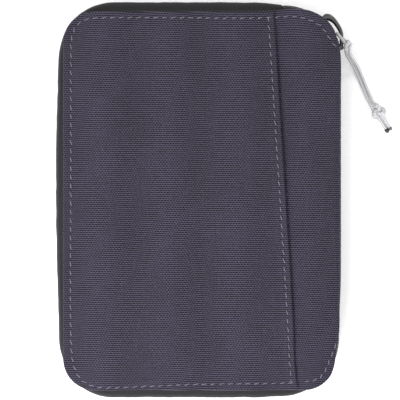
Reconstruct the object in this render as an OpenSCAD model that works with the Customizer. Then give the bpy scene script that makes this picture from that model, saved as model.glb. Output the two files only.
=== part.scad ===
// Zip-around passport holder, lying closed on its back.
// X runs towards the spine, Y up the height, Z out of the front cover.
// The origin is at the middle of the footprint, on the surface it lies on.

/* [Case] */
// Width from the zip's outer line to the spine's face
case_width = 108.5; // [90:0.5:130]
// Height between the zip's outer lines
case_height = 150; // [120:1:220]
// Thickness over both covers
case_thickness = 20; // [16:0.5:30]
// How far the slider's bridge stands out past the spine
bridge_overhang = 0.75; // [0:0.05:1]

/* [Covers] */
// Corner radius of the zip's line on the spine side
zip_corner_right = 22; // [15:0.5:30]
// Corner radius of the zip's line on the opening side
zip_corner_left = 23; // [15:0.5:30]
// Inset of the cover's edge from the zip's line, left side
inset_left = 2.65; // [1:0.05:5]
// Inset of the cover's edge from the zip's line, top
inset_top = 3.6; // [1:0.05:5]
// Inset of the cover's edge from the zip's line, bottom
inset_bottom = 2.65; // [1:0.05:5]
// Corner radius of the cover on the opening side
cover_corner_left = 12; // [6:0.5:20]
// Corner radius of the cover on the spine side
cover_corner_right = 14.5; // [6:0.5:20]
// Thickness of the woven shell fabric
fabric = 0.6; // [0.3:0.05:1]
// Thickness of the stiffener in each cover
stiffener = 1.3; // [0.8:0.1:3]
// Thickness of the lining and of each inner pocket
lining = 0.5; // [0.3:0.05:1]

/* [Front Pocket] */
// Pocket edge at the top of the cover, from the middle
hem_top_x = 27.7; // [10:0.1:40]
// Pocket edge at the bottom of the cover, from the middle
hem_bottom_x = 37.3; // [10:0.1:45]
// Width of the folded hem
hem_width = 4.2; // [3:0.1:8]
// Thickness of the folded hem
hem_thickness = 0.75; // [0.7:0.05:1.2]

/* [Stitching] */
// Distance of one stitch from the next
stitch_pitch = 3.6; // [2:0.1:5]
// Length of thread seen in one stitch
stitch_length = 2.4; // [1:0.1:4]
// Width of the thread
stitch_width = 0.4; // [0.2:0.05:0.8]
// Distance of the edge stitches from the cover's edge
stitch_inset = 3; // [1.5:0.1:6]
// Distance of the hem stitches from the pocket's edge
hem_stitch_inset = 2.6; // [1.5:0.1:4]

/* [Zip] */
// Thickness of the zip's tape
tape = 0.7; // [0.4:0.05:1]
// Width of each coil
coil_width = 2.1; // [1.5:0.1:3]
// Thickness of each coil, through the chain
coil_depth = 1.5; // [1:0.1:2.5]
// Groove between the two coils
coil_gap = 1.4; // [0.6:0.1:2]
// Length of zip that runs on along the spine past each corner
zip_run_on = 4.7; // [2:0.1:10]
// Start of the slider round the corner, in degrees from the spine side
slider_from = 10; // [5:1:30]
// Angle that the slider spans
slider_span = 39; // [30:1:45]

/* [Spine] */
// Length of the spine's fabric
spine_length = 96; // [80:1:110]

/* [Pull] */
// Diameter of the pull's cord
cord_diameter = 1.2; // [0.8:0.1:2]
// Length of the overhand knot
knot_length = 6; // [4:0.1:8]
// Width of the overhand knot
knot_width = 5; // [3:0.1:7]

/* [Hidden] */
$fn = 48;
edge_left = -(case_width + bridge_overhang) / 2;
edge_right = edge_left + case_width;
edge_top = case_height / 2;
zip_mid = 10;
corner_x = edge_right - zip_corner_right;
corner_y = edge_top - zip_corner_right;
left_x = edge_left + zip_corner_left;
left_y = edge_top - zip_corner_left;

thread_top = case_thickness;
hem_high = thread_top - 0.2;
base_low = hem_high - hem_thickness - fabric;
base_high = base_low + fabric;
pocket_high = base_high + fabric;
front_board_low = base_low - stiffener;
front_lining_low = front_board_low - lining;
front_bind_low = front_lining_low - 0.4;
front_reach = base_low - zip_mid;

back_board_high = fabric + 2;
back_lining_high = back_board_high + lining;
back_bind_high = back_lining_high + 0.4;
back_reach = zip_mid - fabric;

groove = coil_gap / 2;
tape_out = -1;
tape_in = tape_out - tape;
coil_in = tape_in - coil_depth;

spine_half = spine_length / 2;
spine_low = 0.9;
spine_high = base_low - 0.3;
spine_lining_x = edge_right - fabric - 0.7;

plate_outer = zip_corner_right + tape_out + 0.3;
plate_top = plate_outer + 0.9;
plate_inner = zip_corner_right + coil_in - 0.3;
plate_half = 4.3;
post_half = 0.4;
bridge_thick = 3;
// outline of the bridge: height over the outer plate, and degrees from its foot
bridge_line = [
    [-0.1, 0.2], [0.9, 1], [1.15, 3.5], [1.5, 6.5], [2, 10], [2.8, 15],
    [3.1, 19], [3.2, 25], [3.2, 31], [2.7, 35.5], [1.5, 38.3], [-0.1, 38.8],
    [-0.1, 34.2], [0.8, 33.4], [1.5, 30], [1.7, 24], [1.7, 18], [1.3, 14],
    [0.6, 10], [0.2, 6.8], [-0.1, 5.6]
];

// centre line of each half of the cord, from the eye in the slider's bridge
upper_route = [
    [52.4, 63.4, 10],
    [52.4, 63.4, 11],
    [52.7, 62.9, 12.2],
    [54, 61.2, 12.4],
    [55.4, 59, 12.6],
    [55.5, 57.2, 12.2],
    [55.7, 55.6, 10.2],
    [56.2, 54, 7.2],
    [56.9, 52.6, 4.6],
    [57.8, 51, 2.6],
    [59, 49, 1.2],
    [60.4, 46.2, 0.7],
    [61.8, 43.2, 0.7],
    [63.2, 40, 0.9],
    [64.6, 37.2, 1.6],
    [66, 35.2, 2.4],
    [67.4, 33, 2.6],
    [68.8, 31, 1.8],
    [70, 29, 0.9],
    [71, 27.4, 0.7]
];
lower_route = [
    [52.4, 63.4, 10],
    [52.4, 63.4, 9],
    [52.8, 62.9, 7.8],
    [54.2, 61.7, 7.5],
    [56.4, 60.2, 7.7],
    [57.5, 59.4, 9.2],
    [57.3, 58.8, 11.4],
    [57, 57.6, 12.3],
    [57.1, 56, 10.8],
    [57.6, 54.4, 8],
    [58.3, 52.8, 5.2],
    [59.2, 51.2, 2.8],
    [60.4, 49, 1.2],
    [61.8, 46.2, 0.7],
    [63.2, 43.2, 0.7],
    [64.4, 40.4, 0.9],
    [65.8, 37.6, 1.7],
    [67, 35.8, 2.6],
    [68.6, 33.6, 3],
    [70.2, 31.6, 2],
    [71.4, 29.8, 0.9],
    [72.4, 28.2, 0.7]
];
collar_at = [56, 58.9, 12.8];
collar_half = 1.5;
collar_radius = 1.1;
collar_turn = 58;
knot_at = [68, 34.3, 2.6];
knot_turn = -58;

fabric_colour = [0.29, 0.275, 0.33];
lining_colour = [0.35, 0.35, 0.38];
tape_colour = [0.22, 0.22, 0.23];
coil_colour = [0.12, 0.12, 0.13];
metal_colour = [0.08, 0.08, 0.09];
thread_colour = [0.5, 0.48, 0.57];
cord_colour = [0.78, 0.78, 0.79];
board_colour = [0.8, 0.8, 0.78];

// ---- outlines ----

// rectangle with one radius on the left corners and one on the right
module rounded(x0, x1, y0, y1, rl, rr) {
    translate([x0 + rl, y0]) {
        square([x1 - rr - x0 - rl, y1 - y0]);
    }
    translate([x0, y0 + rl]) {
        square([rl + 0.01, y1 - y0 - 2 * rl]);
    }
    translate([x1 - rr - 0.01, y0 + rr]) {
        square([rr + 0.01, y1 - y0 - 2 * rr]);
    }
    for (y = [y0 + rl, y1 - rl]) {
        translate([x0 + rl, y]) {
            circle(r = rl);
        }
    }
    for (y = [y0 + rr, y1 - rr]) {
        translate([x1 - rr, y]) {
            circle(r = rr);
        }
    }
}

// outline of a cover
module cover_shape() {
    rounded(
        edge_left + inset_left,
        edge_right,
        -edge_top + inset_bottom,
        edge_top - inset_top,
        cover_corner_left,
        cover_corner_right
    );
}

// outline at one distance inside the zip's line
module inside_zip(inset) {
    rounded(
        edge_left + inset,
        edge_right - inset,
        -edge_top + inset,
        edge_top - inset,
        zip_corner_left - inset,
        zip_corner_right - inset
    );
}

// strip along the spine, out to a distance from its face
module beside_spine(width, right_inset) {
    translate([edge_right - right_inset - width, 0.5 - spine_half]) {
        square([width, spine_length - 1]);
    }
}

// outline of a cover's inner layer: inside the zip, and out to the spine
module layer_shape(inset, right_inset) {
    inside_zip(inset);
    beside_spine(inset, right_inset);
}

// the part of a cover's outline that the pocket covers, up to a line beside its edge
module left_of_hem(back_off) {
    slope = (hem_bottom_x - hem_top_x) / case_height;
    mid = (hem_bottom_x + hem_top_x) / 2 - back_off;
    polygon([
        [edge_left - 5, -edge_top - 5],
        [mid + slope * (edge_top + 5), -edge_top - 5],
        [mid - slope * (edge_top + 5), edge_top + 5],
        [edge_left - 5, edge_top + 5]
    ]);
}

// ---- the zip's path ----

// sweeps a profile, drawn as [outward, up], along one straight side
module straight(from, to, turn) {
    length = norm(to - from);
    translate([from[0], from[1], zip_mid]) {
        rotate([0, 0, turn]) {
            rotate([90, 0, 90]) {
                linear_extrude(height = length) {
                    children();
                }
            }
        }
    }
}

// sweeps a profile round one corner
module corner(at, radius, start, angle) {
    translate([at[0], at[1], zip_mid]) {
        rotate([0, 0, start]) {
            rotate_extrude(angle = angle, $fn = 72) {
                translate([radius, 0]) {
                    children();
                }
            }
        }
    }
}

// bottom right corner, bottom, left and top, up to the slider's corner
module path_main(top_end) {
    corner([corner_x, -corner_y], zip_corner_right, -90, 90) {
        children();
    }
    straight(
        [left_x, -edge_top],
        [corner_x, -edge_top], 0
    ) {
        mirror([1, 0]) {
            children();
        }
    }
    corner([left_x, -left_y], zip_corner_left, 180, 90) {
        children();
    }
    straight(
        [edge_left, left_y],
        [edge_left, -left_y], -90
    ) {
        mirror([1, 0]) {
            children();
        }
    }
    corner([left_x, left_y], zip_corner_left, 90, 90) {
        children();
    }
    straight([top_end, edge_top], [left_x, edge_top], 180) {
        mirror([1, 0]) {
            children();
        }
    }
}

// short run along the spine below the bottom right corner's end
module path_start() {
    straight(
        [edge_right, -corner_y],
        [edge_right, -corner_y + zip_run_on], 90
    ) {
        mirror([1, 0]) {
            children();
        }
    }
}

// the slider's corner and the short run along the spine after it
module path_slider_corner() {
    corner([corner_x, corner_y], zip_corner_right, 0, 90) {
        children();
    }
    straight(
        [edge_right, corner_y - zip_run_on],
        [edge_right, corner_y], 90
    ) {
        mirror([1, 0]) {
            children();
        }
    }
}

// section of a tape from the groove out to its sewn margin, for the upper half
module tape_profile(reach) {
    polygon([
        [tape_out, groove],
        [tape_out, 4.7],
        [-0.3, 5.6],
        [0, reach - 2.1],
        [-0.35, reach - 1.2],
        [-1.3, reach - 0.3],
        [-3, reach],
        [-8, reach],
        [-8, reach - 0.6],
        [-3.1, reach - 0.6],
        [-1.7, reach - 0.95],
        [-1, reach - 1.7],
        [-0.7, reach - 2.2],
        [-1, 5.9],
        [tape_in, 5.1],
        [tape_in, groove]
    ]);
}

// the same section without its sewn margin
module tape_wall_profile(reach) {
    intersection() {
        tape_profile(reach);
        translate([-5, 0]) {
            square([6, reach - 0.9]);
        }
    }
}

// the sewn margin on its own
module tape_margin_profile(reach) {
    polygon([
        [-1.6, reach - 0.6],
        [-1.6, reach],
        [-8, reach],
        [-8, reach - 0.6]
    ]);
}

// section of one coil, for the upper half
module coil_profile() {
    translate([coil_in, groove]) {
        square([coil_depth, coil_width]);
    }
}

module lower_half() {
    mirror([0, 1]) {
        children();
    }
}

// flat ring and lip that bind the lining's edge, from its inner face
module binding(low, high, lip_low, lip_high) {
    translate([0, 0, low]) {
        linear_extrude(height = high - low) {
            difference() {
                inside_zip(3.2);
                inside_zip(8);
                beside_spine(12, 0);
            }
        }
    }
    translate([0, 0, lip_low]) {
        linear_extrude(height = lip_high - lip_low) {
            difference() {
                inside_zip(3.2);
                inside_zip(3.8);
                beside_spine(12, 0);
            }
        }
    }
}

// a panel sewn to a lining
module inner_panel(x0, x1, y0, y1, low, thick) {
    translate([0, 0, low]) {
        linear_extrude(height = thick) {
            rounded(x0, x1, y0, y1, 2, 2);
        }
    }
}

// ---- back cover ----

module back_outer_fabric() {
    color(fabric_colour) {
        linear_extrude(height = fabric) {
            cover_shape();
        }
    }
}

module back_stiffener() {
    color(board_colour) {
        translate([0, 0, fabric]) {
            linear_extrude(height = back_board_high - fabric) {
                layer_shape(8.4, 2.5);
            }
        }
    }
}

module back_lining() {
    color(lining_colour) {
        translate([0, 0, back_board_high]) {
            linear_extrude(height = lining) {
                layer_shape(3.8, 1.9);
            }
        }
    }
}

module back_binding() {
    color(tape_colour) {
        binding(back_lining_high, back_bind_high, fabric * 2, back_lining_high);
    }
}

module back_zip_tape() {
    color(tape_colour) {
        path_main(corner_x) {
            lower_half() {
                tape_profile(back_reach);
            }
        }
        path_start() {
            lower_half() {
                tape_profile(back_reach);
            }
        }
        path_slider_corner() {
            lower_half() {
                tape_profile(back_reach);
            }
        }
    }
}

module back_zip_coil() {
    color(coil_colour) {
        path_main(corner_x) {
            lower_half() {
                coil_profile();
            }
        }
        path_start() {
            lower_half() {
                coil_profile();
            }
        }
        path_slider_corner() {
            lower_half() {
                coil_profile();
            }
        }
    }
}

// sleeve for the passport, open towards the top
module passport_sleeve() {
    color(lining_colour) {
        inner_panel(-45.5, 46.5, -64, 33, back_bind_high, lining);
    }
}

module passport_sleeve_hem() {
    color(tape_colour) {
        inner_panel(-45.5, 46.5, 33, 38, back_bind_high, lining * 1.6);
    }
}

// lower sleeve for tickets and boarding cards
module ticket_sleeve() {
    color(lining_colour) {
        inner_panel(-45.5, 46.5, -64, -6, back_bind_high + lining, lining);
    }
}

// front tape and coil where the slider sits at the closed end
module zip_end_tape() {
    color(tape_colour) {
        path_slider_corner() {
            tape_wall_profile(front_reach);
        }
    }
}

module zip_end_coil() {
    color(coil_colour) {
        path_slider_corner() {
            coil_profile();
        }
    }
}

// stop on each coil at the closed end
module zip_stops() {
    color(metal_colour) {
        for (side = [-1, 1]) {
            translate([
                edge_right + coil_in - 0.8,
                corner_y - zip_run_on + 0.4,
                zip_mid + side * (groove + coil_width / 2) - 0.9
            ]) {
                cube([0.8, 2, 1.8]);
            }
        }
    }
}

// ---- spine ----

module spine_outer_fabric() {
    color(fabric_colour) {
        translate([0, spine_half, 0]) {
            rotate([90, 0, 0]) {
                linear_extrude(height = spine_length) {
                    polygon([
                        [edge_right - fabric, spine_low],
                        [edge_right, spine_low],
                        [edge_right, spine_high],
                        [edge_right - fabric, spine_high]
                    ]);
                }
            }
        }
    }
}

module spine_lining() {
    color(lining_colour) {
        translate([spine_lining_x, -spine_half, back_bind_high]) {
            cube([0.7, spine_length, front_bind_low - back_bind_high]);
        }
    }
}

// ---- front cover ----

module front_outer_fabric() {
    color(fabric_colour) {
        translate([0, 0, base_low]) {
            linear_extrude(height = fabric) {
                cover_shape();
            }
        }
    }
}

module front_pocket_panel() {
    color(fabric_colour) {
        translate([0, 0, base_high]) {
            linear_extrude(height = fabric) {
                intersection() {
                    cover_shape();
                    left_of_hem(hem_width);
                }
            }
        }
    }
}

// the pocket panel's edge, folded under and sewn
module front_pocket_hem() {
    color(fabric_colour) {
        translate([0, 0, base_high]) {
            linear_extrude(height = hem_thickness) {
                intersection() {
                    cover_shape();
                    difference() {
                        left_of_hem(0);
                        left_of_hem(hem_width);
                    }
                }
            }
        }
    }
}

module front_stiffener() {
    color(board_colour) {
        translate([0, 0, front_board_low]) {
            linear_extrude(height = stiffener) {
                layer_shape(8.4, 2.5);
            }
        }
    }
}

module front_lining() {
    color(lining_colour) {
        translate([0, 0, front_lining_low]) {
            linear_extrude(height = lining) {
                layer_shape(3.8, 1.9);
            }
        }
    }
}

module front_binding() {
    color(tape_colour) {
        binding(front_bind_low, front_lining_low, front_lining_low, base_low - 0.6);
    }
}

module front_zip_tape() {
    color(tape_colour) {
        path_main(corner_x - 0.6) {
            tape_profile(front_reach);
        }
        path_start() {
            tape_profile(front_reach);
        }
        corner([corner_x, corner_y], zip_corner_right, 0, 90) {
            tape_margin_profile(front_reach);
        }
        straight([corner_x, edge_top], [corner_x - 0.6, edge_top], 180) {
            mirror([1, 0]) {
                tape_margin_profile(front_reach);
            }
        }
    }
}

module front_zip_coil() {
    color(coil_colour) {
        path_main(corner_x - 0.6) {
            coil_profile();
        }
        path_start() {
            coil_profile();
        }
    }
}

// three tiers of card slots on the front cover's lining
module card_slot_upper() {
    color(lining_colour) {
        inner_panel(-44, 44, -62, 44, front_bind_low - lining, lining);
    }
}

module card_slot_middle() {
    color(lining_colour) {
        inner_panel(-44, 44, -62, 24, front_bind_low - 2 * lining, lining);
    }
}

module card_slot_lower() {
    color(lining_colour) {
        inner_panel(-44, 44, -62, 4, front_bind_low - 3 * lining, lining);
    }
}

// ---- stitching ----

module stitch(at, turn, low) {
    translate([at[0], at[1], low]) {
        rotate([0, 0, turn]) {
            translate([-stitch_length / 2, -stitch_width / 2, 0]) {
                cube([stitch_length, stitch_width, 0.2]);
            }
        }
    }
}

// x of the pocket's edge at a height
function hem_x(y) = (hem_bottom_x + hem_top_x) / 2
    - y * (hem_bottom_x - hem_top_x) / case_height;

// height of the surface that an edge stitch lies on
function surface_at(x, y) = x < hem_x(y) - hem_width - 1.4
    ? pocket_high
    : (x < hem_x(y) + 1.4 ? hem_high : base_high);

function near_hem(x, y) = abs(x - hem_x(y)) < 1.5
    || abs(x - hem_x(y) + hem_width) < 1.5;

module edge_stitch(x, y, turn) {
    if (!near_hem(x, y)) {
        stitch([x, y], turn, surface_at(x, y));
    }
}

module arc_stitches(cx, cy, radius, start) {
    count = floor(radius * PI / 2 / stitch_pitch);
    step = 90 / count;
    for (i = [0 : count - 1]) {
        turn = start + (i + 0.5) * step;
        edge_stitch(cx + radius * cos(turn), cy + radius * sin(turn), turn + 90);
    }
}

module edge_thread() {
    in_left = edge_left + inset_left + stitch_inset;
    in_right = edge_right - stitch_inset;
    in_top = edge_top - inset_top - stitch_inset + 0.6;
    in_bottom = -edge_top + inset_bottom + stitch_inset;
    arc_left = cover_corner_left - stitch_inset;
    arc_right = cover_corner_right - stitch_inset;
    run = in_right - arc_right - in_left - arc_left;
    across = floor(run / stitch_pitch);
    up = floor((in_top - in_bottom - 2 * arc_left) / stitch_pitch);
    color(thread_colour) {
        for (i = [0 : across - 1]) {
            x = in_left + arc_left + (i + 0.5) * run / across;
            edge_stitch(x, in_top, 0);
            edge_stitch(x, in_bottom, 0);
        }
        for (i = [0 : up - 1]) {
            y = in_bottom + arc_left
                + (i + 0.5) * (in_top - in_bottom - 2 * arc_left) / up;
            edge_stitch(in_left, y, 90);
        }
        arc_stitches(in_left + arc_left, in_top - arc_left, arc_left, 90);
        arc_stitches(in_left + arc_left, in_bottom + arc_left, arc_left, 180);
        arc_stitches(in_right - arc_right, in_top - arc_right, arc_right, 0);
        arc_stitches(in_right - arc_right, in_bottom + arc_right, arc_right, -90);
    }
}

module hem_thread() {
    low = -edge_top + inset_bottom + 1.6;
    high = edge_top - inset_top - 1.2;
    count = floor((high - low) / stitch_pitch);
    lean = atan((hem_bottom_x - hem_top_x) / case_height);
    color(thread_colour) {
        for (i = [0 : count - 1]) {
            y = low + (i + 0.5) * (high - low) / count;
            stitch([hem_x(y) - hem_stitch_inset, y], 90 + lean, hem_high);
        }
    }
}

// ---- slider ----

// a wedge of a ring about the corner's centre
module arc_block(inner, outer, start, angle, low, high) {
    translate([corner_x, corner_y, 0]) {
        rotate([0, 0, start]) {
            rotate_extrude(angle = angle, $fn = 96) {
                translate([inner, low]) {
                    square([outer - inner, high - low]);
                }
            }
        }
    }
}

// two plates round the chain, joined by a post in the groove
module slider_body() {
    low = zip_mid - plate_half;
    high = zip_mid + plate_half;
    color(metal_colour) {
        arc_block(plate_outer, plate_top, slider_from, slider_span, low, high);
        arc_block(plate_inner - 1.1, plate_inner, slider_from, slider_span, low, high);
        arc_block(
            plate_inner - 0.1, plate_outer + 0.1, slider_from + 1, 9,
            zip_mid - post_half, zip_mid + post_half
        );
    }
}

// bow over the outer plate that the pull's cord is looped round
module slider_bridge() {
    color(metal_colour) {
        translate([corner_x, corner_y, zip_mid - bridge_thick / 2]) {
            linear_extrude(height = bridge_thick) {
                polygon([
                    for (p = bridge_line)
                        (plate_top + p[0]) * [cos(slider_from + p[1]), sin(slider_from + p[1])]
                ]);
            }
        }
    }
}

// ---- pull ----

function unit(v) = v / norm(v);

// direction of a route at one of its points
function heading(route, i) = unit(
    route[min(i + 1, len(route) - 1)] - route[max(i - 1, 0)]
);

// direction across the route, turned with it from point to point
function side(route, i) = i == 0
    ? unit(cross(heading(route, 0), [1, 0, 0]))
    : let (before = side(route, i - 1), along = heading(route, i))
        unit(before - along * (before * along));

function ring(route, i, radius, sides) =
    let (a = side(route, i), b = cross(heading(route, i), a))
    [
        for (k = [0 : sides - 1])
            route[i]
            + radius * cos(360 * k / sides) * a
            + radius * sin(360 * k / sides) * b
    ];

module cord(route, radius) {
    sides = 8;
    count = len(route);
    points = [for (i = [0 : count - 1]) each ring(route, i, radius, sides)];
    walls = [
        for (i = [0 : count - 2])
            for (k = [0 : sides - 1])
                [
                    i * sides + k,
                    i * sides + (k + 1) % sides,
                    (i + 1) * sides + (k + 1) % sides,
                    (i + 1) * sides + k
                ]
    ];
    start = [for (k = [0 : sides - 1]) sides - 1 - k];
    finish = [for (k = [0 : sides - 1]) (count - 1) * sides + k];
    polyhedron(points = points, faces = concat(walls, [start, finish]));
}

module pull_cord_upper() {
    color(cord_colour) {
        cord(upper_route, cord_diameter / 2);
    }
}

module pull_cord_lower() {
    color(cord_colour) {
        cord(lower_route, cord_diameter / 2);
    }
}

// the half knot that draws both strands together beside the bridge
module pull_collar() {
    color(cord_colour) {
        translate(collar_at) {
            rotate([0, 0, collar_turn]) {
                rotate([0, 90, 0]) {
                    rotate_extrude() {
                        polygon([
                            [0, -collar_half],
                            [collar_radius * 0.75, -collar_half],
                            [collar_radius, -collar_half * 0.6],
                            [collar_radius, collar_half * 0.6],
                            [collar_radius * 0.75, collar_half],
                            [0, collar_half]
                        ]);
                    }
                }
            }
        }
    }
}

// the overhand knot near the ends
module pull_knot() {
    half = knot_length / 2;
    radius = knot_width / 2;
    color(cord_colour) {
        translate(knot_at) {
            rotate([0, 0, knot_turn]) {
                rotate([0, 90, 0]) {
                    rotate_extrude() {
                        polygon([
                            [0, -half],
                            [radius * 0.45, -half],
                            [radius * 0.85, -half * 0.65],
                            [radius, -half * 0.2],
                            [radius, half * 0.2],
                            [radius * 0.85, half * 0.65],
                            [radius * 0.45, half],
                            [0, half]
                        ]);
                    }
                }
            }
        }
    }
}

back_outer_fabric();
back_stiffener();
back_lining();
back_binding();
back_zip_tape();
back_zip_coil();
passport_sleeve();
passport_sleeve_hem();
ticket_sleeve();
zip_end_tape();
zip_end_coil();
zip_stops();
spine_outer_fabric();
spine_lining();
front_outer_fabric();
front_pocket_panel();
front_pocket_hem();
front_stiffener();
front_lining();
front_binding();
front_zip_tape();
front_zip_coil();
card_slot_upper();
card_slot_middle();
card_slot_lower();
edge_thread();
hem_thread();
slider_body();
slider_bridge();
pull_cord_upper();
pull_cord_lower();
pull_collar();
pull_knot();
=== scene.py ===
import math

import bpy
import numpy as np
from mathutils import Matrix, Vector
from mathutils.geometry import delaunay_2d_cdt


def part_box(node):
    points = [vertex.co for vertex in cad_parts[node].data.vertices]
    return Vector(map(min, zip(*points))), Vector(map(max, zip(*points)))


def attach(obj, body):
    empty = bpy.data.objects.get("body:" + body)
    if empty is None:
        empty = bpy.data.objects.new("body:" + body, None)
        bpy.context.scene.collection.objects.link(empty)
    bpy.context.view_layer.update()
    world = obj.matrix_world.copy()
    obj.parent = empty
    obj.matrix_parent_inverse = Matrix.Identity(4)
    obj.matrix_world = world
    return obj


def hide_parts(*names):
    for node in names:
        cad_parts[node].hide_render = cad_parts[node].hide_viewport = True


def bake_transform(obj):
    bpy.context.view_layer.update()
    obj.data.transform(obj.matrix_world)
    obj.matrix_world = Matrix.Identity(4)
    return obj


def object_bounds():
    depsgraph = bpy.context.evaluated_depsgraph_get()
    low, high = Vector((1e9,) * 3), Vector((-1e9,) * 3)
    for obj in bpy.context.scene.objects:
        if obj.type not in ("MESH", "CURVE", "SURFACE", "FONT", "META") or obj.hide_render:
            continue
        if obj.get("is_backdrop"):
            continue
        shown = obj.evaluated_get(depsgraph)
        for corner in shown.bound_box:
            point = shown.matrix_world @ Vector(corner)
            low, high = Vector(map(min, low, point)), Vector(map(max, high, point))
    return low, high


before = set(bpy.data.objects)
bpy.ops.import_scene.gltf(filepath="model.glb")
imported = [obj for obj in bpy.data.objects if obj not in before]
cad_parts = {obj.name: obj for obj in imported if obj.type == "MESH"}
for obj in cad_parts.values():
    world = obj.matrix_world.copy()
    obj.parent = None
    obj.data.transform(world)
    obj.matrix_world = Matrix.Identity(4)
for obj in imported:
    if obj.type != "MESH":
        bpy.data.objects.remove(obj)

cad_low, cad_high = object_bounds()

MM = 0.001
TURN = 2 * math.pi
SHARP_ANGLE = math.radians(50)
CHUNK = 1500
CLIP_END = 20


# ---------- camera and stage ----------

VIEW_WIDTH = 0.1517
LENS = 400
SENSOR = 36

scene = bpy.context.scene
scene.view_settings.view_transform = "Standard"
scene.view_settings.look = "None"

camera_data = bpy.data.cameras.new("camera")
camera_data.lens = LENS
camera_data.sensor_width = SENSOR
camera_data.clip_end = CLIP_END
camera = bpy.data.objects.new("camera", camera_data)
camera.location = (0, -0.0001, cad_high.z + VIEW_WIDTH * LENS / SENSOR)
scene.collection.objects.link(camera)
scene.camera = camera


# ---------- sizes from the frame, in millimetres ----------

def box_mm(node):
    low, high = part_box(node)
    return np.array(low) / MM, np.array(high) / MM


cover_low, cover_high = box_mm("front_outer_fabric")
tape_low, tape_high = box_mm("back_zip_tape")

X0, Y0, BASE_LOW = cover_low
X1, Y1, BASE_TOP = cover_high
ZIP_LEFT, ZIP_BOTTOM = tape_low[:2]
ZIP_RIGHT, ZIP_TOP = tape_high[:2]
BACK_FACE = box_mm("back_outer_fabric")[0][2]
CLOTH = BASE_TOP - BASE_LOW
ZIP_MID = 10.0
CORNER_LEFT = 12.0
CORNER_RIGHT = 14.5
ZIP_CORNER_LEFT = 23.0
ZIP_CORNER_RIGHT = 22.0
ZIP_RUN_ON = 4.7
SPINE_HALF = box_mm("spine_outer_fabric")[1][1]
FOLD_RADIUS = 2.4
POCKET_TOP = box_mm("front_pocket_panel")[1][2]
HEM_TOP = box_mm("front_pocket_hem")[1][2]
HEM_WIDTH = 4.2
HEM_ROLL = 0.42
HEM_MID = 32.5
HEM_SLOPE = 9.6 / 150
SLIDER_AT = np.array([X1 - ZIP_CORNER_RIGHT, ZIP_TOP - ZIP_CORNER_RIGHT])
OUTLINE_STEP = 0.9


# ---------- mesh helpers ----------

def unit(v):
    return v / np.maximum(np.linalg.norm(v, axis=-1, keepdims=True), 1e-12)


def make(name, verts, faces, uv, finish):
    """A smooth-shaded mesh from points in millimetres, with its cloth coordinates in a UV map."""
    verts = np.asarray(verts, float)
    me = bpy.data.meshes.new(name)
    me.from_pydata((verts * MM).tolist(), [], [list(map(int, f)) for f in faces])
    me.update()
    layer = me.uv_layers.new(name="cloth")
    loops = np.zeros(len(me.loops), int)
    me.loops.foreach_get("vertex_index", loops)
    layer.data.foreach_set("uv", np.asarray(uv, float)[loops].ravel())
    me.polygons.foreach_set("use_smooth", [True] * len(me.polygons))
    me.set_sharp_from_angle(angle=SHARP_ANGLE)
    ob = bpy.data.objects.new(name, me)
    scene.collection.objects.link(ob)
    me.materials.append(finish)
    return ob


def place(ob, body, slot, *nodes):
    """Rides ob on its body; where body is not a name, bakes ob's place into its mesh instead.
    Hides the CAD nodes that it stands for; slot is not used.
    """
    if isinstance(body, str):
        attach(ob, body)
    else:
        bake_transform(ob)
    if nodes:
        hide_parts(*nodes)
    return ob


def add(name, mesh, finish, body, slot, *nodes):
    """A finished piece from (verts, faces, uv), placed."""
    return place(make(name, *mesh, finish), body, slot, *nodes)


def join(parts):
    """One (verts, faces, uv) from several."""
    verts, faces, uvs, count = [], [], [], 0
    for v, f, uv in parts:
        verts.append(v)
        uvs.append(uv)
        faces += [tuple(i + count for i in face) for face in f]
        count += len(v)
    return np.concatenate(verts), faces, np.concatenate(uvs)


def travelled(path):
    """Length along a path at each of its points."""
    return np.r_[0, np.cumsum(np.linalg.norm(np.diff(path, axis=0), axis=1))]


def points_at(at, along, path):
    """A path's points at the given lengths."""
    return np.stack([np.interp(at, along, path[:, k]) for k in range(path.shape[1])], 1)


def undoubled(p):
    """A path without points that repeat the one before."""
    return p[np.r_[True, np.linalg.norm(np.diff(p, axis=0), axis=1) > 1e-6]]


def between(u, t0, t1, p, q):
    """Straight from p, where u is t0, to q, where u is t1."""
    return (t1 - u) / (t1 - t0) * p + (u - t0) / (t1 - t0) * q


def smooth_line(points, step):
    """Points a step apart along a centripetal curve through the given ones."""
    p = np.asarray(points, float)
    p = np.vstack([2 * p[0] - p[1], p, 2 * p[-1] - p[-2]])
    out = []
    for i in range(1, len(p) - 2):
        t = np.cumsum([0] + [np.linalg.norm(p[i + k] - p[i + k - 1]) ** 0.5 for k in (0, 1, 2)])
        n = max(2, int(np.linalg.norm(p[i + 1] - p[i]) / step * 3))
        u = np.linspace(t[1], t[2], n, endpoint=False)[:, None]
        a = [between(u, t[k], t[k + 1], p[i - 1 + k], p[i + k]) for k in (0, 1, 2)]
        b = [between(u, t[k], t[k + 2], a[k], a[k + 1]) for k in (0, 1)]
        out.append(between(u, t[1], t[2], *b))
    return resample(np.vstack(out + [p[-2][None]]), step)


def resample(p, step):
    """The path's points again, a step apart."""
    along = travelled(p)
    count = max(2, int(round(along[-1] / step)) + 1)
    return points_at(np.linspace(0, along[-1], count), along, p)


def frames(path, first=None):
    """Two unit vectors across a path, carried from point to point without twist."""
    along = unit(np.gradient(path, axis=0))
    a = np.zeros_like(along)
    start = first if first is not None else (
        np.array([0, 0, 1.0]) if abs(along[0][2]) < 0.8 else np.array([1.0, 0, 0]))
    a[0] = unit(start - along[0] * (start @ along[0]))
    for i in range(1, len(path)):
        a[i] = unit(a[i - 1] - along[i] * (a[i - 1] @ along[i]))
    return a, np.cross(along, a)


def grid_faces(rows, columns, wrap=False):
    faces = []
    for i in range(rows - 1):
        for k in range(columns if wrap else columns - 1):
            j = (k + 1) % columns
            faces.append((i * columns + k, (i + 1) * columns + k,
                          (i + 1) * columns + j, i * columns + j))
    return faces


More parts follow.
